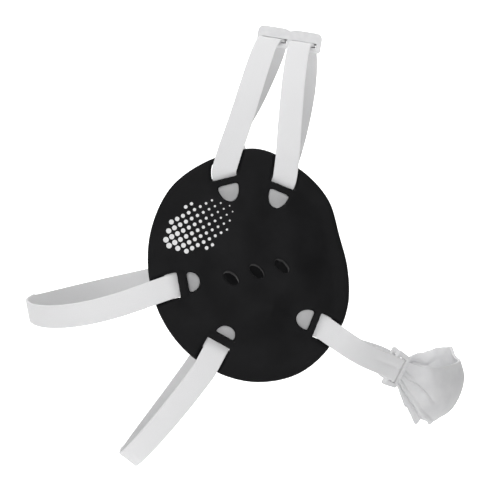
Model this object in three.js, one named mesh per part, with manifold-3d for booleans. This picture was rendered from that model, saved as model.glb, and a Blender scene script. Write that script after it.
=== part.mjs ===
// Wrestling ear guard: two padded ear cups held on the head by four head straps,
// a keeper over the crown, and a chin strap with two sliders and a gathered chin cup.
// Millimetres. X points forward, Y to the wearer's left and Z up. The origin lies
// midway between the ears, on the line through the centres of the two cups.
import * as THREE from 'three';
import { mergeVertices } from 'three/addons/utils/BufferGeometryUtils.js';
import Module from 'manifold-3d';

const wasm = await Module();
wasm.setup();

// Driving dimensions: ear cups
const headWidth = 152; // between the inner faces of the two cups
const cupToeIn = 6; // degrees that each cup turns forward, as the side of a head does
const leftTurn = 2.4; // degrees that the left cup hangs turned about the ear axis, top forward
const cupWidth = 113;
const cupHeight = 130.4;
const cupRim = 5.6; // thickness of the flat margin
const cupCrown = 20.5; // height of the dome above the inner face, before the valley
const domeReach = 0.88; // share of the way to the rim where the dome begins
const valleyDepth = 3.4;
const valleyWidth = 11;
const earHollowDepth = 11.5;
const earHollowReach = 0.46; // share of the way to the rim that the ear hollow takes
const holeLength = 10;
const holeWidth = 5.6;
const holeTurn = -42; // degrees
const holePitch = 14.4;
const holeRise = 13.5; // degrees, the row of holes climbs forward
const holesForward = -1.2; // middle of the row, from the line between the ears
const holesUp = 0.6;

// Driving dimensions: straps and how they thread the cups
const strapWidth = 13.6;
const strapThickness = 1.4;
const strapPlay = 1; // room beside a strap in its slot
const gap = 0.4; // clear distance between pieces that lie on each other
const barWidth = 4;
const barThickness = 2.6;
const slotLength = 6.4; // opening outside the bar, along the strap
const windowLength = 7.8; // opening inside the bar
const windowWidth = 11.6;
const tailLength = 14; // strap end behind the cup, from the bar
const rimRun = 19; // length from the bar along which a strap still lies on the cup
const strapRise = 4.7; // height of a strap over the rim, above the inner face
const crownHeight = 139.9; // of the crown straps at the middle of the head
const crownForward = 19.8; // of the gap between the two crown straps, there
const crownTilt = 9; // degrees, the crown straps slope down forward
const crownSplit = 5.2; // between the edges of the two crown straps
const crownSwing = 7; // degrees that the crown straps turn forward as they cross to the left
const rearReach = 143;
const rearDrop = 26.9;
const napeReach = 82.5;
const napeDrop = 123.4;

// Driving dimensions: keeper over the crown
const keeperSide = 3;
const keeperTop = 6.6;
const keeperFloor = 2;
const keeperRoom = 1.2; // height of each loop's hole beyond the strap in it
const keeperBow = 0.4; // room under the straps, which bow down on both sides
const keeperDepth = 8; // from one side of the head to the other
const keeperRound = 4.2;
const keeperFoot = 1; // rounding of its lower corners
const keeperNotch = 1.2;

// Driving dimensions: chin sliders and chin cup
const sliderForward = 84;
const sliderSide = 35;
const sliderDrop = 62.1;
const sliderHeading = 46; // degrees from forward towards the middle
const sliderPitch = 23; // degrees down
const sliderRoll = 16; // degrees
const sliderBar = 2.6;
const sliderWindow = 7.6; // opening along the strap
const sliderFlare = 0.9; // how much further its rear bar reaches at each end than its front bar
const sliderRound = 1.6; // rounding of its corners
const sliderLead = 1; // length of strap that lies straight before it reaches the slider
const chinReach = 131; // foremost point of the chin cup
const chinCupTop = -61.5; // height of its upper edge
const chinCupDepth = 40;
const chinCupWidth = 60;
const chinSheet = 1.8;
const neckInset = 2; // how far into the slider's window the gathered sheet reaches
const neckRun = 1.5; // how far past the slider it stays gathered
const neckLift = 0.5; // how far it has come away from the strap there
const pleatDepth = 2.6;
const pleats = 3;
const leftChinForward = 7; // the left slider sits further down its strap than the right
const leftChinDrop = 8;
const leftChinSag = 46; // degrees that the left chin strap leaves its cup lower
const leftRimLift = 2; // the chin cup's left edge stands higher
const leftRimForward = 9; // and further forward
const hemPoint = 2.6; // drop of the corners along the lower edge

const material = {
  foam: { color: 0x1c1c1d, roughness: 0.62, metalness: 0 },
  webbing: { color: 0xe6e6e6, roughness: 0.85, metalness: 0 },
  plastic: { color: 0xededed, roughness: 0.4, metalness: 0 },
  chinSheet: { color: 0xe2e2e2, roughness: 0.6, metalness: 0 },
};

const radians = THREE.MathUtils.degToRad;
const vec = (x, y, z) => new THREE.Vector3(x, y, z);

// Solid bodies from three.js geometry, for cuts and joins
function solidOf(geometry) {
  const bare = geometry.clone();
  bare.deleteAttribute('normal');
  bare.deleteAttribute('uv');
  const merged = mergeVertices(bare, 1e-4);
  const vertProperties = Float32Array.from(merged.attributes.position.array);
  const triVerts = Uint32Array.from(merged.index.array);
  return new wasm.Manifold(new wasm.Mesh({ numProp: 3, vertProperties, triVerts }));
}

function geometryOf(solid) {
  const { vertProperties, triVerts } = solid.getMesh();
  const geometry = new THREE.BufferGeometry();
  geometry.setAttribute('position', new THREE.BufferAttribute(Float32Array.from(vertProperties), 3));
  geometry.setIndex(new THREE.BufferAttribute(Uint32Array.from(triVerts), 1));
  return geometry;
}

// Closed body from loops of points, each loop joined to the next and the ends capped
function loft(loops) {
  const count = loops[0].length;
  const points = loops.flat();
  const faces = [];
  for (let ring = 0; ring + 1 < loops.length; ring++) {
    for (let i = 0; i < count; i++) {
      const a = ring * count + i;
      const b = ring * count + ((i + 1) % count);
      faces.push(a, b, a + count, b, b + count, a + count);
    }
  }
  const last = (loops.length - 1) * count;
  for (let i = 1; i + 1 < count; i++) {
    faces.push(0, i + 1, i);
    faces.push(last, last + i, last + i + 1);
  }
  return indexed(points, faces);
}

function indexed(points, faces) {
  const geometry = new THREE.BufferGeometry();
  const flat = points.flatMap((p) => [p.x, p.y, p.z]);
  geometry.setAttribute('position', new THREE.Float32BufferAttribute(flat, 3));
  geometry.setIndex(faces);
  return geometry;
}

// Ear cup: rim outline, as shares of the cup's width forward and its height up
const rimOutline = [
  { forward: 0.4545, up: 0 },
  { forward: 0.412, up: 0.147 },
  { forward: 0.354, up: 0.3045 },
  { forward: 0.209, up: 0.4356 },
  { forward: 0, up: 0.519 },
  { forward: -0.2265, up: 0.472 },
  { forward: -0.4155, up: 0.3585 },
  { forward: -0.515, up: 0.184 },
  { forward: -0.532, up: 0 },
  { forward: -0.4826, up: -0.1725 },
  { forward: -0.3725, up: -0.3214 },
  { forward: -0.2067, up: -0.4306 },
  { forward: 0, up: -0.479 },
  { forward: 0.2125, up: -0.443 },
  { forward: 0.3725, up: -0.3214 },
  { forward: 0.4537, up: -0.162 },
];

// The valley between the three lobes: its arms meet at one point
const valleyMeet = { forward: 0.084, up: -0.06 };
const valleyEnds = [
  { forward: 0.04, up: 0.47 },
  { forward: -0.13, up: -0.225 },
  { forward: 0.185, up: -0.2 },
];

// Where each strap threads a cup: middle of the bar as shares of the cup's size, the
// way out of the opening and the way the strap leads over the rim, in degrees, and how
// far the window lies to one side of the bar's middle, as a share of the window's width
const anchors = {
  crownRear: { forward: -0.153, up: 0.3775, outward: 104, lead: 73, window: -0.05 },
  crownFront: { forward: 0.118, up: 0.3475, outward: 67.8, lead: 82.8, window: 0 },
  rear: { forward: -0.366, up: -0.0562, outward: 189.7, lead: 199.1, window: -0.05 },
  nape: { forward: -0.1777, up: -0.2935, outward: 240.1, lead: 241.6, window: 0.05 },
  chin: { forward: 0.2795, up: -0.228, outward: -21.7, lead: -35.1, window: 0.09 },
};

const onCup = (share, height = 0) => vec(share.forward * cupWidth, share.up * cupHeight, height);
const heading = (degrees) => vec(Math.cos(radians(degrees)), Math.sin(radians(degrees)), 0);

function distanceToSegment(p, a, b) {
  const run = b.clone().sub(a);
  const along = THREE.MathUtils.clamp(p.clone().sub(a).dot(run) / run.lengthSq(), 0, 1);
  return p.distanceTo(a.clone().addScaledVector(run, along));
}

function outerHeight(p, reach) {
  const dome = Math.max(0, 1 - (reach / domeReach) ** 2) ** 1.5;
  const flat = vec(p.x, p.y, 0);
  const meet = onCup(valleyMeet);
  const nearest = Math.min(...valleyEnds.map((end) => distanceToSegment(flat, meet, onCup(end))));
  const valley = valleyDepth * Math.exp(-((nearest / valleyWidth) ** 2)) * Math.max(0, 1 - reach);
  return cupRim + (cupCrown - cupRim) * dome - valley;
}

const innerHeight = (reach) => earHollowDepth * Math.max(0, 1 - (reach / earHollowReach) ** 3);

function cupShell() {
  const spokes = 54;
  const outer = [0.12, 0.25, 0.37, 0.48, 0.58, 0.68, 0.78, 0.88, 0.955, 0.988];
  const inner = [0.988, 0.8, 0.6, earHollowReach, 0.41, 0.33, 0.22, 0.11];
  const edge = 0.3; // share of the rim's thickness that its round edge takes
  const rim = new THREE.CatmullRomCurve3(rimOutline.map((p) => onCup(p)), true, 'centripetal');
  const rows = [];
  for (const reach of outer) {
    const drop = reach > 0.97 ? cupRim * edge : 0;
    rows.push({ reach, height: (p) => outerHeight(p, reach) - drop });
  }
  rows.push({ reach: 1, height: () => cupRim * 0.5 });
  for (const reach of inner) {
    const lift = reach > 0.97 ? cupRim * edge * 0.6 : 0;
    rows.push({ reach, height: () => innerHeight(reach) + lift });
  }
  const points = [vec(0, 0, outerHeight(vec(0, 0, 0), 0))];
  for (const { reach, height } of rows) {
    for (let i = 0; i < spokes; i++) {
      const p = rim.getPoint(i / spokes).multiplyScalar(reach);
      points.push(vec(p.x, p.y, height(p)));
    }
  }
  points.push(vec(0, 0, innerHeight(0)));
  const faces = [];
  const end = points.length - 1;
  const lastRow = 1 + (rows.length - 1) * spokes;
  for (let i = 0; i < spokes; i++) {
    const next = (i + 1) % spokes;
    faces.push(0, 1 + i, 1 + next, end, lastRow + next, lastRow + i);
    for (let row = 0; row + 1 < rows.length; row++) {
      const a = 1 + row * spokes + i;
      const b = 1 + row * spokes + next;
      faces.push(a, a + spokes, b, b, a + spokes, b + spokes);
    }
  }
  return indexed(points, faces);
}

const smooth = (x, low, high) => THREE.MathUtils.smoothstep(x, low, high);
const through = { low: -10, high: 40 };
const barSide = barWidth / 2;
const strapTop = strapThickness / 2 + gap;
const slotHalf = strapWidth / 2 + strapPlay;

// Height of the strap's middle over the cup's inner face, at a distance out from the bar
function strapHeight(out) {
  const tail = -strapTop;
  return tail + (strapRise - tail) * smooth(out, -barSide - windowLength, barSide + slotLength);
}

// The way the strap runs at that distance: it turns from the slot's way to its lead
const turnLength = slotLength + gap;
const wayAt = (anchor, out) => {
  const turned = smooth(out, barSide, barSide + turnLength);
  return heading(THREE.MathUtils.lerp(anchor.outward, anchor.lead, turned));
};
const leftOf = (way) => vec(-way.y, way.x, 0);

function strapPlace(anchor, out) {
  const step = turnLength / 14;
  const place = onCup(anchor).addScaledVector(heading(anchor.outward), Math.min(out, barSide));
  for (let done = barSide; done < out; done += step) {
    place.addScaledVector(wayAt(anchor, done + step / 2), Math.min(step, out - done));
  }
  return place;
}

// Upright block that follows the strap from one distance to another, as wide as the slot
function strapBlock(anchor, from, to, low, high) {
  const turns = [0, 0.25, 0.5, 0.75, 1].map((share) => barSide + share * turnLength);
  const outs = [from, ...turns.filter((out) => out > from && out < to), to];
  return loft(outs.map((out) => {
    const place = strapPlace(anchor, out);
    const aside = leftOf(wayAt(anchor, out)).multiplyScalar(slotHalf);
    const corner = (side, height) => vec(place.x + side * aside.x, place.y + side * aside.y, height);
    return [corner(-1, low), corner(1, low), corner(1, high), corner(-1, high)];
  }));
}

function windowCutter(origin, degrees, aside) {
  const half = windowWidth / 2;
  const mouth = barSide;
  const outline = new THREE.Shape();
  outline.moveTo(-mouth, -half);
  outline.lineTo(-mouth, half);
  outline.lineTo(-mouth - windowLength * 0.35, half);
  outline.quadraticCurveTo(-mouth - windowLength, half, -mouth - windowLength, 0);
  outline.quadraticCurveTo(-mouth - windowLength, -half, -mouth - windowLength * 0.35, -half);
  const depth = through.high - through.low;
  const prism = new THREE.ExtrudeGeometry(outline, { depth, bevelEnabled: false, curveSegments: 5 });
  prism.translate(0, aside * windowWidth, through.low);
  prism.rotateZ(radians(degrees));
  prism.translate(origin.x, origin.y, 0);
  return prism;
}

function anchorCutters(anchor) {
  const barLow = strapHeight(barSide) + strapTop;
  const reliefTop = strapHeight(-barSide) + strapTop;
  const floor = strapRise - strapTop;
  const slotEnd = barSide + slotLength;
  const block = (from, to, low, high) => strapBlock(anchor, from, to, low, high);
  return [
    windowCutter(onCup(anchor), anchor.outward, anchor.window),
    block(barSide, slotEnd, through.low, through.high),
    block(slotEnd - gap, cupWidth / 3, floor, through.high),
    block(-barSide - gap, barSide + gap, through.low, barLow),
    block(-barSide - windowLength - gap, -barSide, through.low, reliefTop),
    block(-barSide - gap, barSide + gap, barLow + barThickness, through.high),
  ];
}

function hearingHole(step) {
  const hole = new THREE.CylinderGeometry(0.5, 0.5, through.high - through.low, 20);
  hole.rotateX(Math.PI / 2);
  hole.scale(holeLength, holeWidth, 1);
  hole.rotateZ(radians(holeTurn));
  const centre = heading(holeRise).multiplyScalar(step * holePitch);
  hole.translate(holesForward + centre.x, holesUp + centre.y, (through.low + through.high) / 2);
  return hole;
}

function earCup() {
  let cup = solidOf(cupShell());
  for (const anchor of Object.values(anchors)) {
    for (const tool of anchorCutters(anchor)) cup = cup.subtract(solidOf(tool));
  }
  for (const step of [-1, 0, 1]) cup = cup.subtract(solidOf(hearingHole(step)));
  return geometryOf(cup).applyMatrix4(cupPlace);
}

// The right cup's place on the head: forward, up and outward, from its inner face
const cupForward = vec(Math.cos(radians(cupToeIn)), Math.sin(radians(cupToeIn)), 0);
const cupOutward = vec(Math.sin(radians(cupToeIn)), -Math.cos(radians(cupToeIn)), 0);
const cupPlace = new THREE.Matrix4()
  .makeBasis(cupForward, vec(0, 0, 1), cupOutward)
  .setPosition(0, -headWidth / 2, 0);

// Straps: a station holds a point of the middle line and the way across the strap
function ribbon(stations) {
  const loops = stations.map((station, i) => {
    const before = stations[Math.max(i - 1, 0)].point;
    const after = stations[Math.min(i + 1, stations.length - 1)].point;
    const along = after.clone().sub(before).normalize();
    const normal = along.clone().cross(station.across).normalize();
    const across = normal.clone().cross(along).normalize().multiplyScalar(strapWidth / 2);
    normal.multiplyScalar(strapThickness / 2);
    const corner = (a, n) => station.point.clone().addScaledVector(across, a).addScaledVector(normal, n);
    return [corner(-1, -1), corner(1, -1), corner(1, 1), corner(-1, 1)];
  });
  return loft(loops);
}

// The strap's run through a cup, from its tail behind the cup to just past the rim
function anchorRun(anchor) {
  const steps = 11;
  const run = [];
  for (let i = 0; i <= steps; i++) {
    const out = THREE.MathUtils.lerp(-tailLength, rimRun, i / steps);
    const place = strapPlace(anchor, out);
    const way = wayAt(anchor, out);
    run.push({
      point: vec(place.x, place.y, strapHeight(out)).applyMatrix4(cupPlace),
      across: leftOf(way).transformDirection(cupPlace),
      along: way.clone().transformDirection(cupPlace),
      outward: cupOutward,
    });
  }
  return run;
}

// Stations on a smooth curve from the end of a run to an end with a given direction
function bridge(from, { dive, sway, startShare, endShare }, to, steps) {
  const leaving = from.along
    .clone()
    .applyAxisAngle(vec(0, 1, 0), radians(sway))
    .multiplyScalar(Math.cos(radians(dive)))
    .addScaledVector(from.outward, -Math.sin(radians(dive)));
  const span = from.point.distanceTo(to.point);
  const curve = new THREE.CubicBezierCurve3(
    from.point,
    from.point.clone().addScaledVector(leaving, span * startShare),
    to.point.clone().addScaledVector(to.along, -span * endShare),
    to.point,
  );
  const stations = [];
  for (let i = 1; i <= steps; i++) {
    const t = i / steps;
    const across = from.across.clone().lerp(to.across, smooth(t, 0, 1)).normalize();
    stations.push({ point: curve.getPoint(t), across });
  }
  return stations;
}

// A place or direction on the right side, carried over to the left side
const toLeft = (v) => vec(v.x, -v.y, v.z).applyAxisAngle(vec(0, 1, 0), radians(leftTurn));
const stationToLeft = (station) =>
  Object.fromEntries(Object.entries(station).map(([key, v]) => [key, toLeft(v)]));

// A strap that runs from the right cup over the middle of the head to the left cup.
// It leaves a cup diving inward and swaying about the ear axis, top forward, in degrees
function headStrap(anchor, { middle, across, crossing, right, left }) {
  const run = anchorRun(anchor);
  const half = (stations, way, bend) => {
    const end = { point: middle, across, along: crossing.clone().multiplyScalar(way) };
    return [...stations, ...bridge(stations[stations.length - 1], bend, end, 14)];
  };
  const rightHalf = half(run, 1, right);
  const leftHalf = half(run.map(stationToLeft), -1, left);
  return ribbon([...rightHalf, ...leftHalf.slice(0, -1).reverse()]);
}

// Way across the crown straps where they pass the keeper, and the way up from it
const crownAcross = vec(Math.cos(radians(crownTilt)), 0, -Math.sin(radians(crownTilt)));
const crownUp = vec(Math.sin(radians(crownTilt)), 0, Math.cos(radians(crownTilt)));
const crownCrossing = crownAcross.clone().multiplyScalar(Math.sin(radians(crownSwing)));
crownCrossing.y = Math.cos(radians(crownSwing));
const crownMiddle = vec(crownForward, 0, crownHeight);
const crownStep = (strapWidth + crownSplit) / 2;

const crownRearStrap = () => headStrap(anchors.crownRear, {
  middle: crownMiddle.clone().addScaledVector(crownAcross, -crownStep),
  across: crownAcross.clone().negate(),
  crossing: crownCrossing,
  right: { dive: 6, sway: 4, startShare: 0.3, endShare: 0.38 },
  left: { dive: 6, sway: -32, startShare: 0.26, endShare: 0.44 },
});

const crownFrontStrap = () => headStrap(anchors.crownFront, {
  middle: crownMiddle.clone().addScaledVector(crownAcross, crownStep),
  across: crownAcross.clone().negate(),
  crossing: crownCrossing,
  right: { dive: 6, sway: -3, startShare: 0.3, endShare: 0.42 },
  left: { dive: 6, sway: 10, startShare: 0.3, endShare: 0.76 },
});

const rearStrap = () => headStrap(anchors.rear, {
  middle: vec(-rearReach, 0, -rearDrop),
  across: vec(0.158, 0, -0.987),
  crossing: vec(0, 0.9995, -0.03),
  right: { dive: 4, sway: -2, startShare: 0.5, endShare: 0.42 },
  left: { dive: 4, sway: 5, startShare: 0.5, endShare: 0.42 },
});

const napeStrap = () => headStrap(anchors.nape, {
  middle: vec(-napeReach, 0, -napeDrop),
  across: vec(0.79, 0, -0.61),
  crossing: vec(0, 1, 0),
  right: { dive: 4, sway: 7, startShare: 0.3, endShare: 0.38 },
  left: { dive: 4, sway: 1, startShare: 0.3, endShare: 0.38 },
});

// Plate of an outline, half of its thickness on each side
function slab(outline, thickness, curveSegments) {
  const plate = new THREE.ExtrudeGeometry(outline, { depth: thickness, bevelEnabled: false, curveSegments });
  return plate.translate(0, 0, -thickness / 2);
}

// Keeper: one moulded piece with a loop for each crown strap, side by side
function crownKeeper() {
  const holeWide = strapWidth + crownSplit - keeperSide;
  const holeHigh = strapThickness + keeperRoom;
  const halfLong = crownStep + holeWide / 2 + keeperSide;
  const floor = -strapThickness / 2 - gap - keeperBow;
  const low = floor - keeperFloor;
  const high = floor + holeHigh + keeperTop;
  const outline = new THREE.Shape();
  outline.moveTo(-halfLong + keeperFoot, low);
  outline.lineTo(halfLong - keeperFoot, low);
  outline.quadraticCurveTo(halfLong, low, halfLong, low + keeperFoot);
  outline.lineTo(halfLong, high - keeperRound);
  outline.quadraticCurveTo(halfLong, high, halfLong - keeperRound, high);
  outline.lineTo(keeperSide, high);
  outline.lineTo(0, high - keeperNotch);
  outline.lineTo(-keeperSide, high);
  outline.lineTo(-halfLong + keeperRound, high);
  outline.quadraticCurveTo(-halfLong, high, -halfLong, high - keeperRound);
  outline.lineTo(-halfLong, low + keeperFoot);
  outline.quadraticCurveTo(-halfLong, low, -halfLong + keeperFoot, low);
  let body = solidOf(slab(outline, keeperDepth, 5));
  for (const side of [-1, 1]) {
    const hole = new THREE.BoxGeometry(holeWide, holeHigh, 2 * keeperDepth);
    hole.translate(side * crownStep, floor + holeHigh / 2, 0);
    body = body.subtract(solidOf(hole));
  }
  const place = new THREE.Matrix4().makeBasis(crownAcross, crownUp, crownAcross.clone().cross(crownUp));
  return geometryOf(body).applyMatrix4(place.setPosition(crownMiddle));
}

// The right chin slider's place: along the strap, up beside it, and outward
const chinWay = vec(
  Math.cos(radians(sliderPitch)) * Math.cos(radians(sliderHeading)),
  Math.cos(radians(sliderPitch)) * Math.sin(radians(sliderHeading)),
  -Math.sin(radians(sliderPitch)),
);
const chinUp = vec(0, 0, 1)
  .addScaledVector(chinWay, -chinWay.z)
  .normalize()
  .applyAxisAngle(chinWay, radians(sliderRoll));
const chinOut = chinWay.clone().cross(chinUp);
const sliderMiddle = vec(sliderForward, -sliderSide, -sliderDrop);
function onSlider(along, up, out) {
  const lifted = sliderMiddle.clone().addScaledVector(chinWay, along).addScaledVector(chinUp, up);
  return lifted.addScaledVector(chinOut, out);
}
const flipped = (v) => vec(v.x, -v.y, v.z);
const toLeftSlider = (v) => flipped(v).add(vec(leftChinForward, 0, -leftChinDrop));

function chinSlider() {
  const windowHalf = { x: sliderWindow / 2, y: slotHalf };
  const half = { x: windowHalf.x + sliderBar, y: windowHalf.y + sliderBar };
  const rear = half.y + sliderFlare;
  const outline = new THREE.Shape();
  outline.moveTo(-half.x + sliderRound, -rear);
  outline.lineTo(half.x - sliderRound, -half.y);
  outline.quadraticCurveTo(half.x, -half.y, half.x, -half.y + sliderRound);
  outline.lineTo(half.x, half.y - sliderRound);
  outline.quadraticCurveTo(half.x, half.y, half.x - sliderRound, half.y);
  outline.lineTo(-half.x + sliderRound, rear);
  outline.quadraticCurveTo(-half.x, rear, -half.x, rear - sliderRound);
  outline.lineTo(-half.x, -rear + sliderRound);
  outline.quadraticCurveTo(-half.x, -rear, -half.x + sliderRound, -rear);
  const hole = new THREE.BoxGeometry(2 * windowHalf.x, 2 * windowHalf.y, 2 * sliderBar);
  const body = solidOf(slab(outline, sliderBar, 4)).subtract(solidOf(hole));
  const place = new THREE.Matrix4().makeBasis(chinWay, chinUp, chinOut).setPosition(sliderMiddle);
  return geometryOf(body).applyMatrix4(place);
}

// Chin strap: over the slider's rear bar, then down through it and under its front bar
function chinStrap(isLeft) {
  const rightRun = anchorRun(anchors.chin);
  const run = isLeft ? rightRun.map(stationToLeft) : rightRun;
  const place = isLeft ? toLeftSlider : (v) => v;
  const turn = isLeft ? flipped : (v) => v;
  const clear = sliderBar / 2 + strapTop;
  const rearEdge = -sliderWindow / 2 - sliderBar;
  const across = turn(chinUp);
  const entry = { point: place(onSlider(rearEdge - sliderLead, 0, clear)), across, along: turn(chinWay) };
  const bend = { dive: 4, sway: isLeft ? leftChinSag : 0, startShare: 0.4, endShare: 0.34 };
  const stations = [...run, ...bridge(run[run.length - 1], bend, entry, 10)];
  const descent = 5;
  for (let i = 0; i <= descent; i++) {
    const share = i / descent;
    const along = THREE.MathUtils.lerp(-sliderWindow / 2 + gap, sliderWindow / 2 - 2 * gap, share);
    stations.push({ point: place(onSlider(along, 0, clear * Math.cos(Math.PI * share))), across });
  }
  stations.push({ point: place(onSlider(sliderWindow / 2 + sliderBar - gap, 0, -clear)), across });
  return ribbon(stations);
}

// Chin cup: sections from its upper edge to its lower rear edge. Each gives where it is
// gathered in the slider, and its side and front points as shares: forward of the run
// from the slider to the chin's foremost point, out of half the cup's width, and down
// its depth
const chinSections = [
  { gather: 1, side: { forward: 0.4, out: 0.93, down: 0.01 }, front: { forward: 0.944, down: 0 } },
  { gather: 0.6, side: { forward: 0.47, out: 0.97, down: 0.24 }, front: { forward: 1, down: 0.26 } },
  { gather: 0.2, side: { forward: 0.45, out: 0.95, down: 0.48 }, front: { forward: 0.945, down: 0.53 } },
  { gather: -0.2, side: { forward: 0.345, out: 0.87, down: 0.7 }, front: { forward: 0.805, down: 0.77 } },
  { gather: -0.6, side: { forward: 0.28, out: 0.77, down: 0.8 }, front: { forward: 0.6, down: 0.9 } },
  { gather: -1, side: { forward: 0.2, out: 0.67, down: 0.83 }, front: { forward: 0.33, down: 0.93 } },
];

function chinCup() {
  const neckOut = -sliderBar / 2 - strapThickness - chinSheet / 2 - 4 * gap;
  const neckHalf = strapWidth / 2 - chinSheet / 2;
  const run = chinReach - onSlider(sliderWindow / 2 + sliderBar, 0, 0).x;
  const start = chinReach - run;
  const along = 30;
  const down = 14;

  const spanOf = ({ gather, side, front }) => {
    const neck = [
      onSlider(sliderWindow / 2 - neckInset, gather * neckHalf, neckOut),
      onSlider(sliderWindow / 2 + sliderBar + neckRun, gather * neckHalf, neckOut + neckLift),
    ];
    const flank = vec(side.forward * run, -side.out * chinCupWidth / 2, -side.down * chinCupDepth);
    flank.add(vec(start, 0, chinCupTop));
    const middle = vec(start + front.forward * run, 0, chinCupTop - front.down * chinCupDepth);
    const leftFlank = flipped(flank).add(vec(leftRimForward * (1 + gather) / 2, 0, leftRimLift));
    const points = [...neck, flank, middle, leftFlank, ...neck.map(toLeftSlider).reverse()];
    return new THREE.CatmullRomCurve3(points, false, 'centripetal');
  };
  const spans = chinSections.map(spanOf);

  const sheetPoint = (i, j) => {
    const u = i / along;
    const across = new THREE.CatmullRomCurve3(spans.map((span) => span.getPoint(u)), false, 'centripetal');
    return across.getPoint(j / down);
  };
  const grid = [];
  for (let i = 0; i <= along; i++) {
    const row = [];
    for (let j = 0; j <= down; j++) row.push(sheetPoint(i, j));
    grid.push(row);
  }
  const normalAt = (rows, i, j) => {
    const a = rows[Math.min(i + 1, along)][j].clone().sub(rows[Math.max(i - 1, 0)][j]);
    const b = rows[i][Math.min(j + 1, down)].clone().sub(rows[i][Math.max(j - 1, 0)]);
    return b.cross(a).normalize();
  };
  const pleated = grid.map((row, i) => row.map((p, j) => {
    const fromEnd = 1 - Math.abs(2 * i / along - 1);
    const fade = smooth(fromEnd, 0.22, 0.5) * (1 - smooth(fromEnd, 0.6, 1));
    const wave = Math.cos(2 * Math.PI * pleats * j / down);
    const corner = hemPoint * smooth(j / down, 0.75, 1) * Math.abs(Math.sin(3 * Math.PI * fromEnd));
    return p.clone().addScaledVector(normalAt(grid, i, j), pleatDepth * fade * wave).add(vec(0, 0, -corner));
  }));
  const points = [];
  for (const side of [0.5, -0.5]) {
    pleated.forEach((row, i) => row.forEach((p, j) => {
      points.push(p.clone().addScaledVector(normalAt(pleated, i, j), side * chinSheet));
    }));
  }
  const wide = down + 1;
  const under = points.length / 2;
  const faces = [];
  for (let i = 0; i < along; i++) {
    for (let j = 0; j < down; j++) {
      const a = i * wide + j;
      const [b, c, d] = [a + 1, a + wide, a + wide + 1];
      faces.push(a, b, d, a, d, c);
      faces.push(under + a, under + d, under + b, under + a, under + c, under + d);
    }
  }
  const border = [];
  for (let j = 0; j < down; j++) border.push(j);
  for (let i = 0; i < along; i++) border.push(i * wide + down);
  for (let j = down; j > 0; j--) border.push(along * wide + j);
  for (let i = along; i > 0; i--) border.push(i * wide);
  border.forEach((a, n) => {
    const b = border[(n + 1) % border.length];
    faces.push(a, under + a, under + b, a, under + b, b);
  });
  return indexed(points, faces);
}

function piece(name, geometry, look) {
  const mesh = new THREE.Mesh(geometry, new THREE.MeshStandardMaterial(look));
  mesh.name = name;
  return mesh;
}

const earGuard = new THREE.Group();
const cup = earCup();
const slider = chinSlider();
earGuard.add(piece('ear_cup_right', cup, material.foam));
earGuard.add(piece('crown_strap_rear', crownRearStrap(), material.webbing));
earGuard.add(piece('crown_strap_front', crownFrontStrap(), material.webbing));
earGuard.add(piece('crown_keeper', crownKeeper(), material.plastic));
earGuard.add(piece('rear_strap', rearStrap(), material.webbing));
earGuard.add(piece('nape_strap', napeStrap(), material.webbing));
earGuard.add(piece('chin_strap_right', chinStrap(false), material.webbing));
earGuard.add(piece('chin_strap_left', chinStrap(true), material.webbing));
earGuard.add(piece('chin_slider_right', slider, material.plastic));
earGuard.add(piece('chin_cup', chinCup(), material.chinSheet));

// The left side is the right one mirrored, with its cup and its slider hanging differently
const leftCup = new THREE.Group();
leftCup.scale.y = -1;
leftCup.rotation.y = radians(leftTurn);
leftCup.add(piece('ear_cup_left', cup, material.foam));
const leftSlider = new THREE.Group();
leftSlider.scale.y = -1;
leftSlider.position.set(leftChinForward, 0, -leftChinDrop);
leftSlider.add(piece('chin_slider_left', slider, material.plastic));
earGuard.add(leftCup, leftSlider);

export default earGuard;
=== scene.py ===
# Wrestling ear guard: moulded foam cups, webbing straps, plastic keeper and sliders, soft chin cup
import bpy, math
from mathutils import Matrix, Vector


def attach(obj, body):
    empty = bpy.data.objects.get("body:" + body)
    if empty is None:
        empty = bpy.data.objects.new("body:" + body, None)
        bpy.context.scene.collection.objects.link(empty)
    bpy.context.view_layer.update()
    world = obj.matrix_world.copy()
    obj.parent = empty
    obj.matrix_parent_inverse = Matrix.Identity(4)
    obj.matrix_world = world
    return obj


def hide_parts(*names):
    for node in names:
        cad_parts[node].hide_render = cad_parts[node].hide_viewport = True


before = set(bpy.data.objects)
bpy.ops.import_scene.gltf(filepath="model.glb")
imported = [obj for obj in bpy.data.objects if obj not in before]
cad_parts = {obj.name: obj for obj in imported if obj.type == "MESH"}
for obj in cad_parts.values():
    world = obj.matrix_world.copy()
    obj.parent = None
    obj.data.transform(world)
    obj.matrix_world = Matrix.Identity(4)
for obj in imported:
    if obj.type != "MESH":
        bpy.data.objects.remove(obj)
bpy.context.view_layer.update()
mm = 0.001
print("frame loaded:", len(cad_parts), "nodes")


# Small helpers
def deselect():
    if bpy.context.mode != "OBJECT":
        bpy.ops.object.mode_set(mode="OBJECT")
    bpy.ops.object.select_all(action="DESELECT")


def activate(obj):
    deselect()
    obj.select_set(True)
    bpy.context.view_layer.objects.active = obj


def addModifier(obj, kind, **values):
    # puts a modifier on and applies it at once
    activate(obj)
    mod = obj.modifiers.new(kind.title(), kind)
    for key, value in values.items():
        setattr(mod, key, value)
    bpy.ops.object.modifier_apply(modifier=mod.name)


def roundEdges(obj, width, segments, angle):
    addModifier(obj, "BEVEL", width=width * mm, segments=segments, limit_method="ANGLE",
                angle_limit=math.radians(angle))


def addGrid(name, columns, rows):
    # flat grid of the unit square, and the column and row of each of its points
    deselect()
    bpy.ops.mesh.primitive_grid_add(x_subdivisions=columns, y_subdivisions=rows, size=1)
    obj = bpy.context.active_object
    obj.name = obj.data.name = name
    spots = [(round((v.co.x + 0.5) * columns), round((v.co.y + 0.5) * rows)) for v in obj.data.vertices]
    return obj, spots


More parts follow.
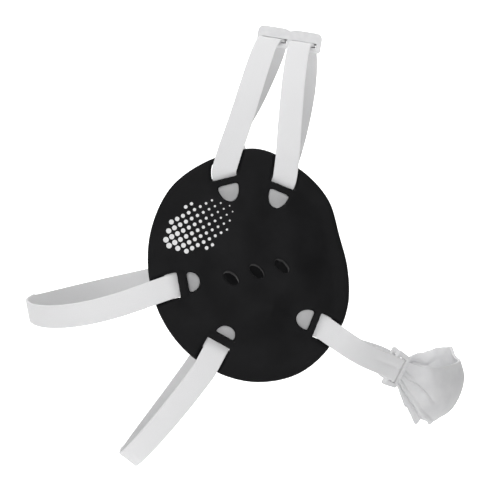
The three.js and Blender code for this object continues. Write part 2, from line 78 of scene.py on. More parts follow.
def recalculate(obj):
    activate(obj)
    bpy.ops.object.mode_set(mode="EDIT")
    bpy.ops.mesh.select_all(action="SELECT")
    bpy.ops.mesh.normals_make_consistent(inside=False)
    bpy.ops.object.mode_set(mode="OBJECT")


def finishPiece(obj, node, look):
    obj.data.materials.clear()
    obj.data.materials.append(look)
    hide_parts(node)
    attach(obj, "root")


def markInner(obj, half, middle):
    # 1 on the side of a thin wall that faces a point, 0 on the other; half points belong to each side
    inner = obj.data.attributes.new("inner", "FLOAT", "POINT").data
    points = [v.co for v in obj.data.vertices]
    for i in range(half):
        first = (points[i] - middle).length < (points[i + half] - middle).length
        inner[i].value, inner[i + half].value = float(first), float(not first)


def thicken(obj, thickness, half, middle, edge):
    # wall on both sides of a sheet, with rounded edges and its inner side marked
    addModifier(obj, "SOLIDIFY", thickness=thickness * mm, offset=0, use_even_offset=True)
    markInner(obj, half, middle)
    roundEdges(obj, edge, 3, 50)
    recalculate(obj)
    obj.data.shade_smooth()


def smoothstep(x, low, high):
    t = min(1, max(0, (x - low) / (high - low)))
    return t * t * (3 - 2 * t)


def bump(x, middle, width):
    return math.exp(-(((x - middle) / width) ** 2))


def splinePoint(points, t, closed=False):
    # point at share t of a centripetal spline through the points
    count = len(points)
    spot = (count if closed else count - 1) * t
    i = int(math.floor(spot))
    w = spot - i
    if not closed and i >= count - 1:
        i, w = count - 2, 1.0
    if closed:
        a, b, c, d = (points[(i + k) % count] for k in (-1, 0, 1, 2))
    else:
        b, c = points[i], points[i + 1]
        a = points[i - 1] if i > 0 else b * 2 - c
        d = points[i + 2] if i + 2 < count else c * 2 - b
    step0, step1, step2 = (max((q - p).length, 1e-6) ** 0.5 for p, q in ((a, b), (b, c), (c, d)))
    way1 = ((b - a) / step0 - (c - a) / (step0 + step1) + (c - b) / step1) * step1
    way2 = ((c - b) / step1 - (d - b) / (step1 + step2) + (d - c) / step2) * step1
    cubic = 2 * b - 2 * c + way1 + way2
    square = 3 * c - 3 * b - 2 * way1 - way2
    return b + (way1 + (square + cubic * w) * w) * w


# Materials
def newMaterial(name, base, roughness, **sockets):
    look = bpy.data.materials.new(name)
    look.use_nodes = True
    shader = look.node_tree.nodes["Principled BSDF"]
    shader.inputs["Base Color"].default_value = (*base, 1)
    shader.inputs["Roughness"].default_value = roughness
    for key, value in sockets.items():
        shader.inputs[key.replace("_", " ")].default_value = value
    return look, look.node_tree, shader


def addNode(tree, kind, **values):
    node = tree.nodes.new(kind)
    for key, value in values.items():
        if key in node.inputs:
            node.inputs[key].default_value = value
        else:
            setattr(node, key, value)
    return node


def addTexture(tree, place, kind, **values):
    texture = addNode(tree, kind, **values)
    tree.links.new(place, texture.inputs["Vector"])
    return texture


def addMath(tree, operation, first, second=0):
    node = addNode(tree, "ShaderNodeMath", operation=operation)
    for socket, value in zip(node.inputs, (first, second)):
        if isinstance(value, (int, float)):
            socket.default_value = value
        else:
            tree.links.new(value, socket)
    return node.outputs["Value"]


def mapRange(tree, value, source, target):
    node = addNode(tree, "ShaderNodeMapRange")
    for key, limit in zip(("From Min", "From Max", "To Min", "To Max"), source + target):
        node.inputs[key].default_value = limit
    tree.links.new(value, node.inputs["Value"])
    return node.outputs["Result"]


def tint(tree, shader, factor, dark, light, low=0.35, high=0.65):
    # base colour between two tones, by a grey factor
    ramp = addNode(tree, "ShaderNodeValToRGB")
    ramp.color_ramp.elements[0].position = low
    ramp.color_ramp.elements[1].position = high
    ramp.color_ramp.elements[0].color = (*dark, 1)
    ramp.color_ramp.elements[1].color = (*light, 1)
    tree.links.new(factor, ramp.inputs["Fac"])
    tree.links.new(ramp.outputs["Color"], shader.inputs["Base Color"])
    return ramp


def mixTone(tree, shader, factor, ramp, tone, **values):
    # lays a tone over the ramp's colour where the factor says
    mix = addNode(tree, "ShaderNodeMix", data_type="RGBA", **values)
    under, over = [socket for socket in mix.inputs if socket.type == "RGBA"]
    over.default_value = (*tone, 1)
    tree.links.new(factor, mix.inputs["Factor"])
    tree.links.new(ramp.outputs["Color"], under)
    result = next(socket for socket in mix.outputs if socket.type == "RGBA")
    tree.links.new(result, shader.inputs["Base Color"])


def paintInnerLighting(tree, shader, ramp, tone):
    # painted shade and light on the inner side: the colour there is multiplied by a tone, below 1 for
    # painted shade, above 1 for painted light
    side = addNode(tree, "ShaderNodeAttribute", attribute_name="inner")
    mixTone(tree, shader, side.outputs["Fac"], ramp, (tone, tone, tone), blend_type="MULTIPLY")


def addBump(tree, shader, height, strength, distance, after=None):
    relief = addNode(tree, "ShaderNodeBump", Strength=strength, Distance=distance)
    tree.links.new(height, relief.inputs["Height"])
    if after:
        tree.links.new(after.outputs["Normal"], relief.inputs["Normal"])
    tree.links.new(relief.outputs["Normal"], shader.inputs["Normal"])
    return relief


def printedDots(tree, place):
    # rows of round dots that grow smaller forward, as a mask of 0 and 1
    dots = {"pitch": 3.6, "middle": (-31, 25), "turn": 28, "reach": (20, 13), "largest": 0.43, "fade": 0.38}
    turn = math.radians(dots["turn"])
    parts = addNode(tree, "ShaderNodeSeparateXYZ")
    tree.links.new(place, parts.inputs["Vector"])

    def calc(operation, first, second=0):
        return addMath(tree, operation, first, second)

    def squares(pair):
        first, second = (calc("POWER", calc("ABSOLUTE", value), 2) for value in pair)
        return calc("ADD", first, second)

    forward, up = (calc("SUBTRACT", calc("MULTIPLY", parts.outputs[axis], 1 / mm), middle)
                   for axis, middle in zip("XZ", dots["middle"]))
    along = calc("ADD", calc("MULTIPLY", forward, math.cos(turn)), calc("MULTIPLY", up, math.sin(turn)))
    aside = calc("SUBTRACT", calc("MULTIPLY", up, math.cos(turn)), calc("MULTIPLY", forward, math.sin(turn)))
    counts = [calc("DIVIDE", value, dots["pitch"]) for value in (along, aside)]
    cells = [calc("SUBTRACT", calc("FRACT", count), 0.5) for count in counts]
    steps = [calc("ADD", calc("FLOOR", count), 0.5) for count in counts]
    shares = [calc("DIVIDE", calc("MULTIPLY", step, dots["pitch"]), reach)
              for step, reach in zip(steps, dots["reach"])]
    inside = calc("LESS_THAN", squares(shares), 1)
    fade = calc("SUBTRACT", 1, calc("MULTIPLY", calc("ADD", shares[0], 1), dots["fade"]))
    size = calc("MULTIPLY", calc("MULTIPLY", fade, dots["largest"]), inside)
    return calc("LESS_THAN", calc("SQRT", squares(cells)), size)


def foamMaterial(name, printed):
    foam = {"dark": (0.008, 0.008, 0.0085), "light": (0.0115, 0.0115, 0.0122), "ink": (0.62, 0.62, 0.625),
            "grain": 1400, "clouds": 45, "smooth": 0.54, "rough": 0.66, "shine": 0.035}
    look, tree, shader = newMaterial(name, foam["dark"], foam["rough"], Specular_IOR_Level=foam["shine"])
    place = addNode(tree, "ShaderNodeTexCoord").outputs["Object"]
    clouds = addTexture(tree, place, "ShaderNodeTexNoise", Scale=foam["clouds"], Detail=4)
    grain = addTexture(tree, place, "ShaderNodeTexNoise", Scale=foam["grain"], Detail=3)
    ramp = tint(tree, shader, clouds.outputs["Fac"], foam["dark"], foam["light"])
    rough = mapRange(tree, clouds.outputs["Fac"], (0.3, 0.7), (foam["smooth"], foam["rough"]))
    tree.links.new(rough, shader.inputs["Roughness"])
    addBump(tree, shader, grain.outputs["Fac"], 0.2, 0.0001)
    if printed:
        mixTone(tree, shader, printedDots(tree, place), ramp, foam["ink"])
    return look


def webbingMaterial():
    # ribs across and along the strap, from its own map in centimetres
    # inner: painted shade, the webbing's inner side drawn 0.9 times as bright as its outer side
    weave = {"light": (0.67, 0.67, 0.675), "shade": (0.6, 0.6, 0.61), "rib": 5.2, "thread": 7.5, "fuzz": 22,
             "rough": 0.78, "inner": 0.9}
    look, tree, shader = newMaterial("webbing", weave["light"], weave["rough"],
                                     Sheen_Weight=0.15, Sheen_Roughness=0.5)
    place = addNode(tree, "ShaderNodeUVMap", uv_map="UVMap").outputs["UV"]
    across = addTexture(tree, place, "ShaderNodeTexWave", Scale=weave["rib"], Distortion=0.6, Detail=1,
                        bands_direction="Y")
    along = addTexture(tree, place, "ShaderNodeTexWave", Scale=weave["thread"], Distortion=0.5, Detail=1,
                       bands_direction="X")
    fuzz = addTexture(tree, place, "ShaderNodeTexNoise", Scale=weave["fuzz"], Detail=5)
    cross = addMath(tree, "MULTIPLY", across.outputs["Fac"], along.outputs["Fac"])
    mixed = addMath(tree, "ADD", cross, fuzz.outputs["Fac"])
    ramp = tint(tree, shader, mixed, weave["shade"], weave["light"], 0.3, 0.95)
    # painted shade on the webbing's inner side
    paintInnerLighting(tree, shader, ramp, weave["inner"])
    ribs = addBump(tree, shader, cross, 0.35, 0.00015)
    addBump(tree, shader, fuzz.outputs["Fac"], 0.12, 0.0002, ribs)
    return look


def plasticMaterial():
    plastic = {"light": (0.64, 0.64, 0.645), "shade": (0.6, 0.6, 0.61), "clouds": 260, "grain": 2600,
               "rough": 0.42, "shine": 0.35}
    look, tree, shader = newMaterial("moulded plastic", plastic["light"], plastic["rough"],
                                     Specular_IOR_Level=plastic["shine"])
    place = addNode(tree, "ShaderNodeTexCoord").outputs["Object"]
    clouds = addTexture(tree, place, "ShaderNodeTexNoise", Scale=plastic["clouds"], Detail=3)
    grain = addTexture(tree, place, "ShaderNodeTexNoise", Scale=plastic["grain"], Detail=2)
    tint(tree, shader, clouds.outputs["Fac"], plastic["shade"], plastic["light"])
    addBump(tree, shader, grain.outputs["Fac"], 0.1, 0.00008)
    return look


def chinMaterial():
    # inner: painted light, the chin cup's inner side drawn 1.25 times as bright as its outer side
    skin = {"light": (0.56, 0.56, 0.565), "shade": (0.515, 0.515, 0.525), "clouds": 120, "grain": 900,
            "rough": 0.55, "shine": 0.35, "inner": 1.25}
    look, tree, shader = newMaterial("soft coated sheet", skin["light"], skin["rough"],
                                     Specular_IOR_Level=skin["shine"])
    place = addNode(tree, "ShaderNodeTexCoord").outputs["Object"]
    clouds = addTexture(tree, place, "ShaderNodeTexNoise", Scale=skin["clouds"], Detail=5)
    pebble = addTexture(tree, place, "ShaderNodeTexVoronoi", Scale=skin["grain"])
    ramp = tint(tree, shader, clouds.outputs["Fac"], skin["shade"], skin["light"])
    # painted light on the chin cup's inner side
    paintInnerLighting(tree, shader, ramp, skin["inner"])
    pebbles = addBump(tree, shader, pebble.outputs["Distance"], 0.18, 0.0001)
    addBump(tree, shader, clouds.outputs["Fac"], 0.08, 0.0005, pebbles)
    return look


foamLook = foamMaterial("moulded foam", False)
printedLook = foamMaterial("moulded foam with printed dots", True)
webbingLook = webbingMaterial()
plasticLook = plasticMaterial()
chinLook = chinMaterial()
print("materials made")

# Ear cups, in millimetres from the middle of the cup's inner face: forward, up, outward
cup = {
    "headWidth": 152, "toeIn": 6, "leftTurn": 2.4, "width": 113, "height": 130.4, "rim": 5.6, "crown": 20.5,
    "domeReach": 0.88, "valleyDepth": 3.4, "valleyWidth": 11, "hollowDepth": 11.5, "hollowReach": 0.46,
    "outline": [(0.4545, 0), (0.412, 0.147), (0.354, 0.3045), (0.209, 0.4356), (0, 0.519), (-0.2265, 0.472),
                (-0.4155, 0.3585), (-0.515, 0.184), (-0.532, 0), (-0.4826, -0.1725), (-0.3725, -0.3214),
                (-0.2067, -0.4306), (0, -0.479), (0.2125, -0.443), (0.3725, -0.3214), (0.4537, -0.162)],
    "valley": [(0.084, -0.06), (0.04, 0.47), (-0.13, -0.225), (0.185, -0.2)],
    "arch": {"middle": 5, "half": 20, "top": -19.5, "drop": 17, "power": 2.6, "step": 0.6, "edge": 2.4,
             "fade": 16, "end": 2.5},
    "spokes": 200, "rings": 96, "edgeRings": 12, "flatReach": 0.985, "edgeInset": 0.75, "edgePower": 0.8,
    "voxel": 0.00075,
}
hole = {
    "length": 10, "width": 5.6, "turn": -42, "pitch": 14.4, "rise": 13.5, "forward": -1.2, "up": 0.6,
    "dish": 0.5, "dishReach": 0.6, "basin": 1.2, "basinWidth": 11,
    "low": 5, "high": 25, "inner": 1.05, "outer": 0.95, "slant": 0.26, "slantFrom": 0.85,
}
strap = {
    "width": 13.6, "slack": 0.3, "snug": 1.3, "thickness": 1.4, "edge": 0.4, "play": 1, "gap": 0.4,
    "tail": 14, "rimRun": 19, "height": 4.7, "columns": 12,
}
slot = {
    "bar": 4, "barThickness": 2.6, "length": 6.4, "window": 7.8, "windowWidth": 11.6, "windowPower": 0.9,
    "low": -10, "high": 40, "snug": 0.2, "recess": 1.1, "recessFrom": 1.2, "tailRoom": 2,
}
anchors = {
    # middle of the bar as shares of the cup, the strap's headings in the slot and past it,
    # and how far the window moves aside, starts off the bar and runs on
    "crownRear": {"forward": -0.153, "up": 0.3775, "outward": 104, "lead": 73,
                  "window": -0.05, "edge": 0, "end": 1.5},
    "crownFront": {"forward": 0.118, "up": 0.3475, "outward": 67.8, "lead": 82.8,
                   "window": 0, "edge": 0, "end": 1.4},
    "rear": {"forward": -0.366, "up": -0.0562, "outward": 189.7, "lead": 199.1,
             "window": -0.05, "edge": 1.3, "end": 0},
    "nape": {"forward": -0.1777, "up": -0.2935, "outward": 240.1, "lead": 241.6,
             "window": 0.05, "edge": 1, "end": -0.8},
    "chin": {"forward": 0.2795, "up": -0.228, "outward": -21.7, "lead": -35.1,
             "window": 0.09, "edge": 0, "end": 1.3},
}
barSide = slot["bar"] / 2
strapTop = strap["thickness"] / 2 + strap["gap"]
turnLength = slot["length"] + strap["gap"]
sideAxis = Vector((0, 1, 0))


def onCup(share):
    return Vector((share[0] * cup["width"], share[1] * cup["height"], 0))


def heading(degrees):
    return Vector((math.cos(math.radians(degrees)), math.sin(math.radians(degrees)), 0))


def leftOf(way):
    return Vector((-way.y, way.x, 0))


cupRim = [onCup(share) for share in cup["outline"]]
cupValley = [onCup(share) for share in cup["valley"]]
holeMiddles = [Vector((hole["forward"], hole["up"], 0)) + heading(hole["rise"]) * (step * hole["pitch"])
               for step in (-1, 0, 1)]


def holeReach(p, middle):
    # 1 on the hole's edge, more outside
    spot = p - middle
    long = spot.dot(heading(hole["turn"])) / (hole["length"] / 2)
    short = spot.dot(heading(hole["turn"] + 90)) / (hole["width"] / 2)
    return math.hypot(long, short)


def segmentDistance(p, a, b):
    run = b - a
    return (p - a - run * min(1, max(0, (p - a).dot(run) / run.length_squared))).length


def archLift(p):
    # low raised lobe under an arched line
    arch = cup["arch"]
    fall = abs((p.x - arch["middle"]) / arch["half"]) ** arch["power"]
    if fall >= arch["end"]:
        return 0
    below = arch["top"] - arch["drop"] * fall - p.y
    lobe = smoothstep(below, -arch["edge"], arch["edge"]) * math.exp(-max(0, below) / arch["fade"])
    return arch["step"] * lobe * max(0, 1 - fall / arch["end"])


def outerHeight(p, reach):
    dome = max(0, 1 - (reach / cup["domeReach"]) ** 2) ** 1.5
    nearest = min(segmentDistance(p, cupValley[0], end) for end in cupValley[1:])
    valley = cup["valleyDepth"] * bump(nearest, 0, cup["valleyWidth"]) * max(0, 1 - reach)
    dish = sum(hole["dish"] * bump(holeReach(p, middle), hole["dishReach"], 1) for middle in holeMiddles)
    dish += hole["basin"] * bump(segmentDistance(p, holeMiddles[0], holeMiddles[2]), 0, hole["basinWidth"])
    return cup["rim"] + (cup["crown"] - cup["rim"]) * dome - valley + archLift(p) - dish


def innerHeight(reach):
    return cup["hollowDepth"] * max(0, 1 - (reach / cup["hollowReach"]) ** 3)


def cupRows():
    # reach, side and turn round the edge of each ring, from the outer pole to the inner one
    turns = cup["edgeRings"]
    flat = (cup["rings"] - turns) // 2
    rows = [(cup["flatReach"] * i / flat, "outer", 0) for i in range(flat)]
    rows += [(1, "edge", math.pi / 2 - math.pi * i / turns) for i in range(turns + 1)]
    rows += [(cup["flatReach"] * (flat - 1 - i) / flat, "inner", 0) for i in range(flat)]
    return rows


def cupBody(name):
    # a sphere's rings and spokes moved to the cup's two faces and its rounded edge
    deselect()
    bpy.ops.mesh.primitive_uv_sphere_add(segments=cup["spokes"], ring_count=cup["rings"], radius=1)
    obj = bpy.context.active_object
    obj.name = obj.data.name = name
    rows = cupRows()
    rim = [splinePoint(cupRim, i / cup["spokes"], True) for i in range(cup["spokes"])]
    edgeRound = cup["rim"] / 2
    edgeInset = edgeRound * cup["edgeInset"]
    for v in obj.data.vertices:
        ring = round(math.acos(max(-1, min(1, v.co.z))) / math.pi * cup["rings"])
        spoke = round(math.atan2(v.co.y, v.co.x) / (2 * math.pi) * cup["spokes"]) % cup["spokes"]
        reach, kind, angle = rows[ring]
        edge = rim[spoke]
        if kind == "edge":
            p = edge * (1 - edgeInset * (1 - math.cos(angle)) / edge.length)
            z = edgeRound * (1 + math.copysign(abs(math.sin(angle)) ** cup["edgePower"], math.sin(angle)))
        else:
            p = edge * (reach * (1 - edgeInset / edge.length))
            z = outerHeight(p, reach) if kind == "outer" else innerHeight(reach)
        v.co = (p.x * mm, p.y * mm, z * mm)
    return obj


def strapHeight(out):
    # middle of the strap above the cup's inner face, at a way out from the bar
    rise = smoothstep(out, -barSide - slot["window"], barSide + slot["length"])
    return -strapTop + (strap["height"] + strapTop) * rise


def wayAt(anchor, out):
    turned = smoothstep(out, barSide, barSide + turnLength)
    return heading(anchor["outward"] + (anchor["lead"] - anchor["outward"]) * turned)


def strapPlace(anchor, out):
    place = onCup((anchor["forward"], anchor["up"])) + heading(anchor["outward"]) * min(out, barSide)
    done, step = barSide, 0.5
    while done < out:
        place += wayAt(anchor, done + step / 2) * min(step, out - done)
        done += step
    return place


def extrudeUp(obj, height):
    activate(obj)
    bpy.ops.object.mode_set(mode="EDIT")
    bpy.ops.mesh.select_all(action="SELECT")
    bpy.ops.mesh.extrude_region_move(TRANSFORM_OT_translate={"value": (0, 0, height * mm)})
    bpy.ops.object.mode_set(mode="OBJECT")
    recalculate(obj)
    return obj


def strapCutter(anchor, start, end, low, high, play):
    # upright block that follows the strap, with room beside it
    half = strap["width"] / 2 + play
    steps = max(2, round(end - start) // 2)
    obj, spots = addGrid("cutter", 1, steps)
    for v, (column, row) in zip(obj.data.vertices, spots):
        out = start + (end - start) * row / steps
        p = strapPlace(anchor, out) + leftOf(wayAt(anchor, out)) * (half * (1 - 2 * column))
        v.co = (p.x * mm, p.y * mm, low * mm)
    return extrudeUp(obj, high - low)


def windowCutter(anchor):
    # D shape: straight along the bar and round towards the middle of the cup
    deselect()
    bpy.ops.mesh.primitive_circle_add(vertices=48, radius=1, fill_type="NGON")
    obj = bpy.context.active_object
    half, mouth = slot["windowWidth"] / 2, barSide + anchor["edge"]
    length = slot["window"] - anchor["edge"] + anchor["end"]
    bar, way = onCup((anchor["forward"], anchor["up"])), heading(anchor["outward"])
    for v in obj.data.vertices:
        along = -mouth if v.co.x > 0 else -mouth - length * abs(v.co.x) ** slot["windowPower"]
        p = bar + way * along + leftOf(way) * (half * v.co.y + anchor["window"] * slot["windowWidth"])
        v.co = (p.x * mm, p.y * mm, slot["low"] * mm)
    return extrudeUp(obj, slot["high"] - slot["low"])


def holeCutter(middle):
    # slanted oval rod, thicker at its inner end
    deselect()
    tall = hole["high"] - hole["low"]
    bpy.ops.mesh.primitive_cylinder_add(vertices=48, radius=1, depth=tall * mm)
    obj = bpy.context.active_object
    for v in obj.data.vertices:
        size = hole["outer"] if v.co.z > 0 else hole["inner"]
        p = middle + heading(hole["turn"]) * (v.co.x * size * hole["length"] / 2)
        p += heading(hole["turn"] + 90) * (v.co.y * size * hole["width"] / 2)
        z = v.co.z + (hole["low"] + hole["high"]) / 2 * mm
        v.co = (p.x * mm, p.y * mm + (z - cup["crown"] * mm * hole["slantFrom"]) * hole["slant"], z)
    return obj


def cupCutters():
    tools = [holeCutter(middle) for middle in holeMiddles]
    slotEnd, gap = barSide + slot["length"], strap["gap"]
    low, high = slot["low"], slot["high"]
    barLow = strapHeight(barSide) + strapTop
    tailTop = strapHeight(-barSide) + strapTop
    cuts = [
        # start and end along the strap, bottom, top, room beside the strap
        (barSide, slotEnd, low, high, slot["snug"]),
        (barSide, slotEnd, strapHeight(barSide) + slot["recessFrom"], high, slot["recess"]),
        (slotEnd - gap, cup["width"] / 3, strap["height"] - strapTop, high, slot["recess"]),
        (-barSide - gap, barSide + gap, low, barLow, strap["play"]),
        (-barSide - slot["window"] - slot["tailRoom"], -barSide, low, tailTop, strap["play"]),
        (-barSide - gap, barSide + gap, barLow + slot["barThickness"], high, strap["play"]),
    ]
    for anchor in anchors.values():
        tools.append(windowCutter(anchor))
        tools += [strapCutter(anchor, *cut) for cut in cuts]
    return tools


def cupPlace():
    turn = math.radians(cup["toeIn"])
    forward = Vector((math.cos(turn), math.sin(turn), 0))
    outward = Vector((math.sin(turn), -math.cos(turn), 0))
    place = Matrix((forward, (0, 0, 1), outward)).transposed().to_4x4()
    place.translation = (0, -cup["headWidth"] / 2 * mm, 0)
    return place


flipSide = Matrix.Scale(-1, 4, sideAxis)
leftPlace = Matrix.Rotation(math.radians(cup["leftTurn"]), 4, "Y") @ flipSide


def makeCups():
    right = cupBody("ear_cup_right_foam")
    for tool in cupCutters():
        addModifier(right, "BOOLEAN", object=tool, operation="DIFFERENCE", solver="MANIFOLD")
        bpy.data.objects.remove(tool)
    addModifier(right, "REMESH", mode="VOXEL", voxel_size=cup["voxel"], adaptivity=0)
    addModifier(right, "SMOOTH", factor=0.5, iterations=5)
    left = right.copy()
    left.data = right.data.copy()
    left.name = left.data.name = "ear_cup_left_foam"
    bpy.context.collection.objects.link(left)
    right.data.transform(cupPlace())
    left.data.transform(leftPlace @ cupPlace())
    left.data.flip_normals()
    for obj, node, look in ((right, "ear_cup_right", printedLook), (left, "ear_cup_left", foamLook)):
        obj.data.shade_smooth()
        finishPiece(obj, node, look)
        print(node, len(obj.data.polygons), "faces")


makeCups()

# Straps: stations along each strap hold a place and the way across, and the first ones the way along
worn = {
    # dive, sway, share of the span that the start and the end pull on, and how far back it bulges
    "crownRear": {"right": (6, 4, 0.3, 0.38, 0), "left": (6, -32, 0.26, 0.44, 5.2)},
    "crownFront": {"right": (6, -3, 0.3, 0.42, 0), "left": (6, 10, 0.3, 0.76, 0)},
    "rear": {"right": (4, -2, 0.5, 0.42, 0), "left": (4, 5, 0.5, 0.42, 0), "middle": (-143, 0, -26.9),
             "across": (0.158, 0, -0.987), "crossing": (0, 0.9995, -0.03)},
    "nape": {"right": (4, 7, 0.3, 0.38, 0), "left": (4, 1, 0.3, 0.38, 0), "middle": (-82.5, 0, -123.4),
             "across": (0.79, 0, -0.61), "crossing": (0, 1, 0)},
    "chin": {"right": (4, 0, 0.4, 0.34, 0), "left": (4, 46, 0.4, 0.34, 0)},
}
bulge = {"middle": 0.2, "width": 0.18, "start": 0.12}
crown = {
    "height": 139.9, "forward": 19.8, "tilt": 9, "split": 5.2, "swing": 7,
    # where along it the keeper holds a strap, how far to each side, and how far it sinks there
    "held": (0.5, 0.05), "dip": 0.35,
}
headSteps = 70
rightPlace = cupPlace().to_3x3()
cupOutward = rightPlace @ Vector((0, 0, 1))
leftTurn3 = leftPlace.to_3x3()


def anchorRun(anchor, left):
    # stations 1 mm apart from the tail to the cup's rim
    run = []
    out = -strap["tail"]
    middle = Vector((0, -cup["headWidth"] / 2, 0))
    while out <= strap["rimRun"]:
        place, way = strapPlace(anchor, out), wayAt(anchor, out)
        point = rightPlace @ Vector((place.x, place.y, strapHeight(out))) + middle
        station = [point, rightPlace @ leftOf(way), rightPlace @ way]
        run.append([leftTurn3 @ v for v in station] if left else station)
        out += 1
    return run


def bridgeTo(start, bend, end, left, steps):
    # smooth curve from the last station on a cup to a place, way across and way along
    dive, sway, startShare, endShare, back = bend
    outward = leftTurn3 @ cupOutward if left else cupOutward
    leaving = Matrix.Rotation(math.radians(sway), 3, "Y") @ start[2]
    leaving = leaving * math.cos(math.radians(dive)) - outward * math.sin(math.radians(dive))
    span = (end[0] - start[0]).length
    pull, push = start[0] + leaving * (span * startShare), end[0] - end[2] * (span * endShare)
    stations = []
    for i in range(1, steps + 1):
        t = i / steps
        r = 1 - t
        place = start[0] * r**3 + pull * (3 * r * r * t) + push * (3 * r * t * t) + end[0] * t**3
        place.x -= back * bump(t, bulge["middle"], bulge["width"]) * smoothstep(t, 0, bulge["start"])
        stations.append([place, start[1].lerp(end[1], smoothstep(t, 0, 1)).normalized()])
    return stations


def layStrap(node, stations, held, dip=0, crease=None):
    # held: where along it the strap is pressed wider, and how far to each side
    columns, rows = strap["columns"], len(stations) - 1
    obj, spots = addGrid(node + "_webbing", columns, rows)
    lengths = [0]
    for a, b in zip(stations, stations[1:]):
        lengths.append(lengths[-1] + (b[0] - a[0]).length)
    for v, (column, row) in zip(obj.data.vertices, spots):
        run = stations[min(row + 1, rows)][0] - stations[max(row - 1, 0)][0]
        normal = run.cross(stations[row][1]).normalized()
        across = normal.cross(run).normalized()
        side = column / columns - 0.5
        width = strap["width"] - strap["slack"] + strap["snug"] * bump(row / rows, *held)
        point = stations[row][0] + across * (side * width)
        point.z -= dip * bump(row / rows, *held)
        if crease:
            point -= normal * (crease["depth"] * bump(side, crease["side"], crease["width"])
                               * smoothstep(row / rows, crease["start"], crease["end"]))
        v.co = point * mm
    uv = obj.data.uv_layers["UVMap"].data
    for loop in obj.data.loops:
        column, row = spots[loop.vertex_index]
        uv[loop.index].uv = (column / columns * strap["width"] / 10, lengths[row] / 10)
    thicken(obj, strap["thickness"], len(spots), Vector((0, 0, 0)), strap["edge"])
    finishPiece(obj, node, webbingLook)
    print(node, round(lengths[-1]), "mm long")


def headStrap(key, node, middle, across, crossing, held=(0.5, 0.01), dip=0):
    halves = []
    for side, way in (("right", 1), ("left", -1)):
        left = side == "left"
        run = anchorRun(anchors[key], left)
        end = [middle, across, crossing * way]
        halves.append(run + bridgeTo(run[-1], worn[key][side], end, left, headSteps))
    layStrap(node, halves[0] + halves[1][-2::-1], held, dip)


crownTilt, crownSwing = math.radians(crown["tilt"]), math.radians(crown["swing"])
crownAcross = Vector((math.cos(crownTilt), 0, -math.sin(crownTilt)))
crownCrossing = crownAcross * math.sin(crownSwing) + sideAxis * math.cos(crownSwing)
crownMiddle = Vector((crown["forward"], 0, crown["height"]))
crownStep = (strap["width"] + crown["split"]) / 2
for key, node, side in (("crownRear", "crown_strap_rear", -1), ("crownFront", "crown_strap_front", 1)):
    headStrap(key, node, crownMiddle + crownAcross * (side * crownStep), -crownAcross, crownCrossing,
              crown["held"], crown["dip"])
for key, node in (("rear", "rear_strap"), ("nape", "nape_strap")):
    headStrap(key, node, *(Vector(worn[key][name]) for name in ("middle", "across", "crossing")))

# Chin sliders' place, and the straps through them
slider = {
    "forward": 84, "side": 35, "drop": 62.1, "heading": 46, "pitch": 23, "roll": 16, "bar": 2.6,
    "window": 7.6, "entry": 1,
}
leftChin = {"forward": 7, "drop": 8, "rimLift": 2, "rimForward": 9}
chinStrapping = {
    "steps": 30, "slidingSteps": 16, "late": 2.2, "held": (0.93, 0.2),
    "crease": {"depth": 0.75, "side": 0.05, "width": 0.04, "start": 0.58, "end": 0.66},
}
pitch, turn = math.radians(slider["pitch"]), math.radians(slider["heading"])
chinWay = Vector((math.cos(pitch) * math.cos(turn), math.cos(pitch) * math.sin(turn), -math.sin(pitch)))
chinUp = (Vector((0, 0, 1)) - chinWay * chinWay.z).normalized()
chinUp.rotate(Matrix.Rotation(math.radians(slider["roll"]), 3, chinWay))
chinOut = chinWay.cross(chinUp)
sliderMiddle = Vector((slider["forward"], -slider["side"], -slider["drop"]))
sliderHalf = slider["window"] / 2
sliderEnd = sliderHalf + slider["bar"]


def onSlider(along, up, out):
    return sliderMiddle + chinWay * along + chinUp * up + chinOut * out


def flipped(v):
    return Vector((v.x, -v.y, v.z))


def toLeftSlider(v):
    return flipped(v) + Vector((leftChin["forward"], 0, -leftChin["drop"]))


def chinStrap(node, side):
    # over the slider's near bar, down through its window and under the far bar
    left = side == "left"
    place, turned = (toLeftSlider, flipped) if left else (lambda v: v, lambda v: v)
    run = anchorRun(anchors["chin"], left)
    clear, gap = slider["bar"] / 2 + strapTop, strap["gap"]
    across = turned(chinUp)
    entry = [place(onSlider(-sliderEnd - slider["entry"], 0, clear)), across, turned(chinWay)]
    stations = run + bridgeTo(run[-1], worn["chin"][side], entry, left, chinStrapping["steps"])
    steps = chinStrapping["slidingSteps"]
    for i in range(steps + 1):
        along = -sliderHalf + gap + (2 * sliderHalf - 3 * gap) * i / steps
        height = clear * math.cos(math.pi * (i / steps) ** chinStrapping["late"])
        stations.append([place(onSlider(along, 0, height)), across])
    stations.append([place(onSlider(sliderEnd - gap, 0, -clear)), across])
    layStrap(node, stations, chinStrapping["held"], 0, chinStrapping["crease"])


chinStrap("chin_strap_right", "right")
chinStrap("chin_strap_left", "left")


# Keeper and sliders: the solids with rounded edges
def roundedCopy(node, width):
    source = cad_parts[node]
    obj = source.copy()
    obj.data = source.data.copy()
    for key in list(obj.keys()):
        del obj[key]
    obj.parent = None
    obj.name = obj.data.name = node + "_moulded"
    bpy.context.collection.objects.link(obj)
    obj.matrix_world = Matrix.Identity(4)
    activate(obj)
    bpy.ops.object.mode_set(mode="EDIT")
    bpy.ops.mesh.select_all(action="SELECT")
    bpy.ops.mesh.remove_doubles(threshold=0.00001)
    bpy.ops.mesh.dissolve_limited(angle_limit=math.radians(3))
    bpy.ops.object.mode_set(mode="OBJECT")
    roundEdges(obj, width, 4, 30)
    obj.data.shade_smooth()
    activate(obj)
    bpy.ops.object.shade_smooth_by_angle(angle=math.radians(40))
    finishPiece(obj, node, plasticLook)


for node, width in (("crown_keeper", 0.55), ("chin_slider_right", 1), ("chin_slider_left", 1)):
    roundedCopy(node, width)
print("plastic pieces made")

